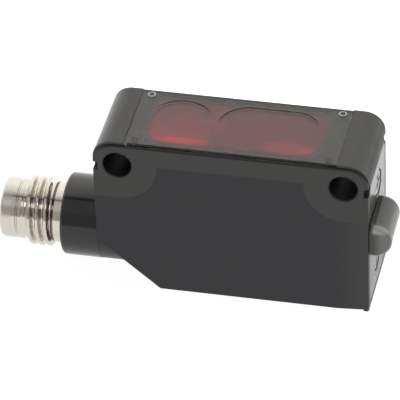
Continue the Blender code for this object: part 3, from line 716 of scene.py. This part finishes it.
# ===========================================================================
# dimensions, the same as the CAD's, in millimetres
# ===========================================================================
E, H = 15.5, 5.5
DEPTH = 19.8
R_TOP = 2.3
HOLE_X, HOLE_Z, HOLE_R = 12.7, 16.8, 1.6
PAD_R, PAD_Z, BAND_Z, PAD_STEP = 4.4, 12.3, 17.1, 0.06
LIP_Z, LIP_Y = 19.42, 5.24
CONN_Z, COLLAR_R, COLLAR_X = 5.2, 4.7, (-20.1, -15.6)
WINDOW_X, WINDOW_Z, FRAME_Z = 11.87, 19.35, 19.27
POST_X, POST_Y = 10.85, 4.37
LENS1, LENS2, LENS_Y = (-9.85, -2.872), (-2.852, 9.42), 4.15
FRAME_X, FRAME_Y = 10.2, 4.66
PANEL_X = 14.7
ADJ_POS, SEL_POS, ROTOR_R = (0.8, 13.5), (-0.4, 3.9), 1.45
DOME_Z, DOME_X = 9.8, 15.57
GAP = 0.08


# ===========================================================================
# housing
# ===========================================================================
def make_housing():
    side = fillet([
        (-E, 6.15, 0.5), (-8.4, 0.0, 0.4), (E, 0.0, 0.25), (E, LIP_Z, R_TOP),
        (-E, LIP_Z, R_TOP)], steps=10)
    ob = prism("sensor_housing", side, 'XZ', -H, H, PIECES, M_CASE)
    round_edges(ob, lambda co: abs(abs(co.y) - H) < 1e-4, 0.22, 5)
    boolean(ob, prism("tool_foot", [(10.0, -0.0727), (14.85, 0.28), (14.97, -0.3), (10.0, -0.3)],
                      'XZ', -7, 7, TOOLS))
    belly = lathe("tool_belly", [(0, -15.59), (4.64, -15.59), (4.64, -9.0), (0, -9.0)],
                  (0, 0, CONN_Z), 'X', TOOLS, steps=128)
    boolean(ob, belly, 'UNION')
    # the side panels are sunk between the pads and the band, with sloping walls
    up = math.asin((BAND_Z - HOLE_Z) / PAD_R)
    def panel_line(grow):
        r = PAD_R + grow
        band = BAND_Z - grow
        a = math.asin((band - HOLE_Z) / r)
        arc = circle_points(-HOLE_X, HOLE_Z, r, 40, -math.pi / 2, math.pi / 2 + a)
        arc.append((-HOLE_X + r * math.cos(a), band))
        left = [(-E - 1, HOLE_Z - r), (-HOLE_X - 0.3, HOLE_Z - r)] + arc[1:]
        return left + [(-x, z) for x, z in reversed(left)] + [(E + 1, -1), (-E - 1, -1)]
    for s in (-1, 1):
        inner, outer = s * (H - PAD_STEP), s * (H + 0.12)
        tool = prism("tool_panel", panel_line(0.10), 'XZ', inner, outer, TOOLS,
                     taper=panel_line(-0.10))
        boolean(ob, tool)
    inside = [(-13.9, 14.2), (-13.9, 6.36), (-7.95, 1.2), (14.0, 1.2), (14.0, 14.2)]
    boolean(ob, prism("tool_inside", inside, 'XZ', -4.45, 4.45, TOOLS))
    boolean(ob, block("tool_neck", (-9.35, -3.65, 13.0), (9.35, 3.65, 18.0), TOOLS))
    boolean(ob, prism("tool_front", fillet(
        [(-10.28, -4.74, 0.8), (10.28, -4.74, 0.8), (10.28, 4.74, 0.8), (-10.28, 4.74, 0.8)]),
        'XY', 16.8, 21.0, TOOLS))
    boolean(ob, block("tool_seat", (-12.05, -LIP_Y, FRAME_Z), (12.05, LIP_Y, 21), TOOLS))
    for s in (-1, 1):
        a, b = sorted((s * 9.9, s * 16.5))
        boolean(ob, block("tool_cap", (a, -LIP_Y, 18.65), (b, LIP_Y, 21), TOOLS))
        a, b = sorted((s * 14.62, s * 16.5))
        boolean(ob, block("tool_flap", (a, -LIP_Y, 17.0), (b, LIP_Y, 21), TOOLS))
        for near in (-1, 1):
            c, d = sorted((near * 4.4, near * 6.0))
            a, b = sorted((s * 14.95, s * 16.5))
            boolean(ob, block("tool_notch", (a, c, 15.9), (b, d, 17.02), TOOLS))
        boolean(ob, lathe("tool_hole", [
            (0, -7), (HOLE_R + 1.62, -7), (HOLE_R, -5.38), (HOLE_R, 5.38), (HOLE_R + 1.62, 7), (0, 7)],
            (s * HOLE_X, 0, HOLE_Z), 'Y', TOOLS, steps=96))
    for lo, hi, top, x0 in ((1.2, 14.92, 0.8, 13.0), (1.2, 15.66, 0.8, 14.06)):
        boolean(ob, prism("tool_end", fillet(
            [(-4.35, lo, 0.8), (4.35, lo, 0.8), (4.35, hi, 0.8), (-4.35, hi, 0.8)]),
            'YZ', x0, 16.5, TOOLS))
    boolean(ob, prism("tool_end_seat", fillet(
        [(-4.78, 0.72, 0.9), (4.78, 0.72, 0.9), (4.78, 16.55, 0.9), (-4.78, 16.55, 0.9)]),
        'YZ', 14.6, 16.5, TOOLS))
    boolean(ob, rod("tool_bore", 3.5, -17, -8.6, 'X', (0, 0, CONN_Z), TOOLS, 96))
    apply(ob)
    clean(ob)
    return shade(ob)


# ===========================================================================
# front cover, window and lenses
# ===========================================================================
COVER_Y = LIP_Y - 0.02


def make_cover():
    cap = 14.7
    side = fillet([
        (-E, 17.08, 0.15), (-cap, 17.08, 0), (-cap, 18.73, 0.3), (cap, 18.73, 0.3),
        (cap, 17.08, 0), (E, 17.08, 0.15), (E, DEPTH, R_TOP), (11.95, DEPTH, 0),
        (11.95, FRAME_Z, 0), (-11.95, FRAME_Z, 0), (-11.95, DEPTH, 0), (-E, DEPTH, R_TOP)],
        steps=14)
    ob = prism("sensor_front_cover", side, 'XZ', -COVER_Y, COVER_Y, PIECES, M_COVER)
    round_edges(ob, lambda co: abs(abs(co.y) - COVER_Y) < 1e-4 and abs(co.x) > 11.9
                and co.z > 17.2 and (co.z > 19.0 or abs(co.x) > 15), 0.3, 6)
    for s in (-1, 1):
        lo, hi = sorted((s * (FRAME_Y - 0.002), s * 6))
        boolean(ob, block("tool_cover_side", (-9.98, lo, 16), (9.98, hi, 21), TOOLS))
    boolean(ob, prism("tool_cover_frame", fillet(
        [(-FRAME_X, -FRAME_Y, 0.7), (FRAME_X, -FRAME_Y, 0.7), (FRAME_X, FRAME_Y, 0.7),
         (-FRAME_X, FRAME_Y, 0.7)]), 'XY', 17.42, 19.0, TOOLS), 'UNION')
    for ix in (-1, 1):
        for iy in (-1, 1):
            head = ([(0.40, 19.765), (0.385, 19.785), (0, 19.785)] if iy < 0 else
                    [(0.38, 19.62), (0.34, 19.69), (0.26, 19.72), (0, 19.72)])
            boolean(ob, lathe("tool_post", [(0, 18.95), (head[0][0], 18.95)] + head,
                              (ix * POST_X, iy * POST_Y, 0), 'Z', TOOLS, steps=32), 'UNION')
    boolean(ob, prism("tool_lens_seat", fillet(
        [(LENS1[0] - GAP, -LENS_Y - GAP, 2.56), (LENS2[1] + GAP, -LENS_Y - GAP, 2.56),
         (LENS2[1] + GAP, LENS_Y + GAP, 2.56), (LENS1[0] - GAP, LENS_Y + GAP, 2.56)], 16),
        'XY', 16, 21, TOOLS))
    apply(ob)
    clean(ob)
    return shade(ob)


def make_window():
    x, y = 11.943, 5.16
    ob = prism("sensor_front_window", [(-x, -y), (x, -y), (x, y), (-x, y)],
               'XY', WINDOW_Z, DEPTH - 0.01, PIECES, M_WINDOW)
    round_edges(ob, lambda co: abs(abs(co.y) - y) < 1e-4, 0.10, 4)
    for ix in (-1, 1):
        for iy in (-1, 1):
            hole, mouth = (0.408, 0.412) if iy < 0 else (0.46, 0.53)
            boolean(ob, lathe("tool_post_hole", [
                (0, 18), (hole, 18), (hole, 19.76), (mouth, 19.82), (mouth, 20.5), (0, 20.5)],
                (ix * POST_X, iy * POST_Y, 0), 'Z', TOOLS, steps=48 if iy > 0 else 32))
    # the outlines of the two optical fields, engraved on their far halves
    for x0, x1, first, last in ((-10.05, -3.3, 152, 28), (-2.35, 9.0, 178, 24)):
        r, top = 3.3, 3.68
        path = []
        for cx, a0, a1 in ((x0 + r, first, 90), (x1 - r, 90, last)):
            for k in range(25):
                t = math.radians(a0 + (a1 - a0) * k / 24)
                path.append((cx + r * math.cos(t), top - r + r * math.sin(t),
                             math.cos(t), math.sin(t)))
        count = len(path)
        wide = [0.008 + 0.047 * min(1.0, k / 8, (count - 1 - k) / 8) for k in range(count)]
        strip = [(x + nx * w, y + ny * w) for (x, y, nx, ny), w in zip(path, wide)]
        strip += [(x - nx * w, y - ny * w) for (x, y, nx, ny), w
                  in reversed(list(zip(path, wide)))]
        boolean(ob, prism("tool_outline", strip, 'XY', DEPTH - 0.09, DEPTH + 0.2, TOOLS))
    apply(ob)
    clean(ob)
    shade(ob)
    # painted shade: the floor and walls of the engraving get a near-black material standing in for the
    # shadow in the groove
    ob.data.materials.append(M_GROOVE_SHADE)
    for face in ob.data.polygons:
        c = face.center
        if DEPTH - 0.12 < c.z < DEPTH - 0.02 and abs(c.x) < 10.15 and abs(c.y) < 4.9:
            face.material_index = len(ob.data.materials) - 1
    return ob


def make_stake_highlight_rim(name, x):
    """Upset rim of a heat-staked post, proud in the window's hole; its light grey is a painted
    highlight.
    """
    return shade(lathe(name, [(0.30, 19.73), (0.37, 19.72), (0.42, 19.74), (0.455, 19.775),
                              (0.43, 19.79), (0.36, 19.785), (0.31, 19.765)],
                       (x, POST_Y, 0), 'Z', PIECES, M_STAKE_HIGHLIGHT, steps=40, ring=True), 80)


def make_lens(name, corners, outline, crown_x, crown_scale, mat):
    """Flange whose optical field is sunk a little inside a rounded outline."""
    ob = prism(name, fillet(corners, 14), 'XY', 18.5, FRAME_Z, PIECES, mat)
    dome = [(3.25 * math.sin(math.radians(a)), 18.1 - 1.1 * math.cos(math.radians(a)))
            for a in range(84, 3, -8)]
    body = lathe("tool_crown", [(0, 18.8), (3.25, 18.8), (3.25, 18.1)] + dome + [(0, 17.0)],
                 (0, 0, 0), 'Z', TOOLS, steps=96)
    for v in body.data.vertices:
        v.co.x = v.co.x * crown_scale + crown_x
    boolean(ob, body, 'UNION')
    field = [(outline[0], -3.9), (outline[1], -3.9), (outline[1], 3.9), (outline[0], 3.9)]
    low = fillet([(x, y, 3.3) for x, y in field], 20)
    tool = prism("tool_field", low, 'XY', FRAME_Z - 0.10, FRAME_Z + 0.3, TOOLS)
    boolean(ob, tool)
    apply(ob)
    clean(ob)
    return shade(ob)


# ===========================================================================
# control panel with its rotors, and the indicator dome
# ===========================================================================
def make_panel():
    ob = prism("sensor_control_panel", fillet(
        [(-4.7, 0.8, 0.82), (4.7, 0.8, 0.82), (4.7, 16.47, 0.82), (-4.7, 16.47, 0.82)], 10),
        'YZ', PANEL_X, E, PIECES, M_PANEL)
    bevel(ob, 0.08, 3, 50)
    apply(ob)
    for y, z in (ADJ_POS, SEL_POS):
        boolean(ob, rod("tool_boss", 1.95, 14.15, 14.9, 'X', (0, y, z), TOOLS, 96), 'UNION')
    for y, z in (ADJ_POS, SEL_POS):
        boolean(ob, lathe("tool_panel_bore", [
            (0, 13), (ROTOR_R + 0.1, 13), (ROTOR_R + 0.1, E - 0.1), (ROTOR_R + 0.4, E + 0.2),
            (0, E + 0.2)], (0, y, z), 'X', TOOLS, steps=96))
        # generic dial ticks round each rotor
        for k in range(7):
            t = math.radians(-120 + 40 * k)
            cy, cz = y + 2.05 * math.sin(t), z + 2.05 * math.cos(t)
            if not (-4.4 < cy < 4.4 and 1.0 < cz < 16.2):
                continue
            tick = block("tool_tick", (E - 0.05, -0.07, -0.17), (E + 0.2, 0.07, 0.17), TOOLS)
            tick.data.transform(Matrix.Translation((0, cy, cz))
                                @ Matrix.Rotation(-t, 4, 'X'))
            boolean(ob, tick)
    boolean(ob, prism("tool_panel_window", fillet(
        [(-4.1, 8.5, 0.7), (0.9, 8.5, 0.7), (0.9, 11.1, 0.7), (-4.1, 11.1, 0.7)]),
        'YZ', 14, 17, TOOLS))
    apply(ob)
    clean(ob)
    return shade(ob)


def make_rotor(name, y, z, slots):
    ob = lathe(name, [(0, 0.72), (ROTOR_R - 0.16, 0.72), (ROTOR_R - 0.05, 0.68), (ROTOR_R, 0.58),
                      (ROTOR_R, 0.05), (1.0, 0.05), (1.0, -0.42), (0.6, -0.42), (0.6, -1.0),
                      (0, -1.0)], (PANEL_X, y, z), 'X', PIECES, M_ROTOR, steps=96)
    for y0, y1, z0, z1 in slots:
        boolean(ob, block("tool_slot", (PANEL_X + 0.36, y + y0, z + z0),
                          (PANEL_X + 1.2, y + y1, z + z1), TOOLS))
    apply(ob)
    bevel(ob, 0.03, 2, 50)
    apply(ob)
    clean(ob)
    return shade(ob)


def make_dome():
    """Smoked bar across the panel: round crest, round far end, near lobe."""
    def hill(y0, y1, half, reach, r0, r1, z_mid):
        """Hill section swept along Y, its ends rounded by r0 and r1."""
        rows = []
        for y_end, rho, s in ((y0, r0, 1), (y1, r1, -1)):
            part = []
            for k in range(0, 9):
                t = math.pi / 2 * k / 8
                part.append((y_end + s * rho * (1 - math.sin(t)), rho * (1 - math.cos(t))))
            rows += list(reversed(part)) if s > 0 else part
        bm = bmesh.new()
        rings = []
        for y, shrink in rows:
            r, re = half - shrink, reach - shrink
            ring = [(DOME_X - 0.0, z_mid - r)]
            for a in range(-90, 91, 5):
                ring.append((DOME_X + re - r + r * math.cos(math.radians(a)),
                             z_mid + r * math.sin(math.radians(a))))
            ring.append((DOME_X, z_mid + r))
            rings.append([bm.verts.new((x, y, z)) for x, z in ring])
        for a, b in zip(rings[:-1], rings[1:]):
            for k in range(len(a)):
                j = (k + 1) % len(a)
                bm.faces.new((a[k], a[j], b[j], b[k]))
        bm.faces.new(rings[0])
        bm.faces.new(list(reversed(rings[-1])))
        bmesh.ops.remove_doubles(bm, verts=bm.verts, dist=1e-5)
        bmesh.ops.recalc_face_normals(bm, faces=bm.faces)
        return bm

    def as_object(name, bm, coll):
        mesh = bpy.data.meshes.new(name)
        bm.to_mesh(mesh)
        bm.free()
        return new_object(name, mesh, coll, M_DOME)

    ob = as_object("sensor_indicator_dome", hill(-4.9, 1.6, 1.95, 2.38, 0.3, 1.2, DOME_Z), PIECES)
    lobe = as_object("tool_lobe", hill(-5.35, -4.12, 2.0, 2.43, 0.45, 0.35, DOME_Z), TOOLS)
    boolean(ob, lobe, 'UNION')
    boolean(ob, prism("tool_spigot", fillet(
        [(-4.0, 8.6, 0.6), (0.8, 8.6, 0.6), (0.8, 11.0, 0.6), (-4.0, 11.0, 0.6)]),
        'YZ', 14.5, 16.3, TOOLS), 'UNION')
    apply(ob)
    clean(ob)
    return shade(ob, 40)


# ===========================================================================
# connector
# ===========================================================================
def make_collar():
    r, (front, rear) = COLLAR_R, COLLAR_X
    def arc(cx, cr, rad, a0, a1, steps=8):
        return [(cr + rad * math.sin(math.radians(a0 + (a1 - a0) * k / steps)),
                 cx + rad * math.cos(math.radians(a0 + (a1 - a0) * k / steps)))
                for k in range(steps + 1)]
    profile = [(r - 0.06, rear)] + arc(rear - 0.06, r - 0.06, 0.06, 20, 90) \
        + arc(front + 0.4, r - 0.4, 0.4, 90, 180) \
        + [(3.46, front), (3.4, front + 0.06), (3.4, -17.4), (2.75, -17.4), (2.75, -12.4),
           (3.4, -12.4), (3.4, -14.2), (3.02, -14.2), (3.02, -14.8), (3.4, -14.8), (3.4, rear)]
    return shade(lathe("sensor_connector_collar", profile, (0, 0, CONN_Z), 'X', PIECES, M_GLOSS,
                       steps=144, ring=True))


PITCH = 0.97
CREST_0 = -23.376          # crest place at angle 0 (+Y), right-handed
ROOT_R, CREST_R = 3.45, 4.0


def thread_height(x, t):
    """0 at the root, 1 on a rounded crest of the helix."""
    turn = (x - CREST_0) / PITCH - t / (2 * math.pi)
    d = abs(turn - round(turn)) * 2            # 0 on the crest, 1 in the root
    ridge = 1.0 - min(1.0, max(0.0, (d - 0.26) / 0.60))
    ridge = ridge * ridge * (3 - 2 * ridge)
    k = round(turn) * 1.0                      # fade in and out by whole turns
    centre = CREST_0 + PITCH * (k + t / (2 * math.pi))
    def fade(v, lo, hi):
        w = min(1.0, max(0.0, (v - lo) / (hi - lo)))
        return w * w * (3 - 2 * w)
    return ridge * fade(centre, -24.55, -24.2) * fade(-centre, 21.62, 21.80)


def make_shell():
    """Nickel-plated M8 shell: neck, helical thread, grooved nose, open mouth."""
    front = -27.4
    outer = [(3.3, -17.5), (3.3, -20.18), (3.45, -20.18), (3.5, -20.3), (3.5, -21.14),
             (3.47, -21.18), (3.22, -21.24), (3.19, -21.32), (3.22, -21.40)]
    steps = 80
    x0, x1 = -21.46, -24.78
    thread = [(ROOT_R, x0 + (x1 - x0) * k / steps) for k in range(steps + 1)]
    nose = [(3.44, -24.86), (3.48, -24.92), (3.48, -25.30), (3.46, -25.32), (3.35, -25.41),
            (3.35, -25.51), (3.46, -25.60), (3.48, -25.62), (3.48, front + 0.5)]
    tip = [(3.08 + 0.4 * math.sin(math.radians(a)), front + 0.4 - 0.4 * math.cos(math.radians(a)))
           for a in range(80, -1, -10)]
    mouth = [(2.9, front), (2.8, front + 0.06), (2.75, front + 0.2), (2.75, -17.5)]
    profile = outer + thread + nose + tip + mouth
    first, last = len(outer), len(outer) + steps

    def radius(index, r, a, t):
        if first <= index <= last:
            base = ROOT_R - 0.10
            if a < -24.5:
                base = 3.38
            if a > -22.1:                      # the run-out is shallower
                base += 0.17 * min(1.0, (a + 22.1) / 0.3)
            return base + (CREST_R - base) * thread_height(a, t)
        return r

    ob = lathe("sensor_connector_shell", profile, (0, 0, CONN_Z), 'X', PIECES, M_NICKEL,
               steps=180, ring=True, radius=radius)
    return shade(ob, 40)


PINS = [("contact_pin_1", -1.05, 0.95), ("contact_pin_2", 1.05, 0.95),
        ("contact_pin_3", -1.35, -0.85), ("contact_pin_4", 1.35, -0.85)]


def make_insert():
    ob = lathe("sensor_connector_insert", [(0, -12.6), (2.65, -12.6), (2.65, -22.4), (2.6, -22.5),
                                           (2.5, -22.55), (0, -22.55)],
               (0, 0, CONN_Z), 'X', PIECES, M_INSERT, steps=96)
    for name, y, z in PINS:
        boolean(ob, rod("tool_pin_hole", 0.56, -24, -11, 'X', (0, y, CONN_Z + z), TOOLS, 32))
    apply(ob)
    clean(ob)
    return shade(ob)


def make_pin(name, y, z):
    return shade(lathe("sensor_" + name, [
        (0, -12.0), (0.32, -12.0), (0.5, -12.2), (0.5, -25.9), (0.47, -26.05), (0.38, -26.18),
        (0.2, -26.28), (0, -26.3)], (0, y, CONN_Z + z), 'X', PIECES, M_GOLD, steps=40))


# ===========================================================================
# assembly
# ===========================================================================
def fit(ob, body, slot, *nodes):
    """Bring a piece modelled in millimetres to metres and tie it to its body."""
    ob.data.transform(Matrix.Scale(MM, 4))
    ob.data.update()
    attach(ob, body)
    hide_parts(*nodes)


fit(make_housing(), "sensor", "case", "housing")
fit(make_cover(), "sensor", "cover", "front_cover")
fit(make_window(), "sensor", "window", "front_window")
# painted highlights: light grey stake rims on the two far posts only
fit(make_stake_highlight_rim("sensor_stake_rim_highlight_a", -POST_X), "sensor", "cover")
fit(make_stake_highlight_rim("sensor_stake_rim_highlight_b", POST_X), "sensor", "cover")
fit(make_lens("sensor_emitter_lens",
              [(LENS1[0], -LENS_Y, 2.5), (LENS1[1], -LENS_Y, 0), (LENS1[1], LENS_Y, 0),
               (LENS1[0], LENS_Y, 2.5)], (-9.8, -3.1), sum(LENS1) / 2, 1.0, M_LENS_E),
    "sensor", "lens", "emitter_lens")
fit(make_lens("sensor_receiver_lens",
              [(LENS2[0], -LENS_Y, 0), (LENS2[1], -LENS_Y, 2.5), (LENS2[1], LENS_Y, 2.5),
               (LENS2[0], LENS_Y, 0)], (-2.6, 8.6), sum(LENS2) / 2, 1.6, M_LENS_R),
    "sensor", "lens", "receiver_lens")
fit(make_panel(), "sensor", "panel", "control_panel")
fit(make_rotor("sensor_adjuster_rotor", *ADJ_POS,
               [(-1.05, 1.05, -0.2, 0.2), (-0.2, 0.2, -1.05, 0.6), (-0.34, 0.34, 0.5, 1.1)]),
    "sensitivity_rotor", "adjuster", "sensitivity_adjuster")
fit(make_rotor("sensor_selector_rotor", *SEL_POS,
               [(-0.24, 0.24, -1.1, 1.1), (-0.5, 0.5, 0.45, 0.95)]),
    "selector_rotor", "adjuster", "operation_selector")
fit(make_dome(), "sensor", "dome", "indicator_dome")
fit(make_collar(), "sensor", "collar", "connector_collar")
fit(make_shell(), "sensor", "nickel", "connector_shell")
fit(make_insert(), "sensor", "insert", "connector_insert")
for _pin in PINS:
    fit(make_pin(*_pin), "sensor", "contact", _pin[0])

for _tool in list(TOOLS.objects):
    _mesh = _tool.data
    bpy.data.objects.remove(_tool, do_unlink=True)
    if _mesh.users == 0:
        bpy.data.meshes.remove(_mesh)
bpy.data.collections.remove(TOOLS)
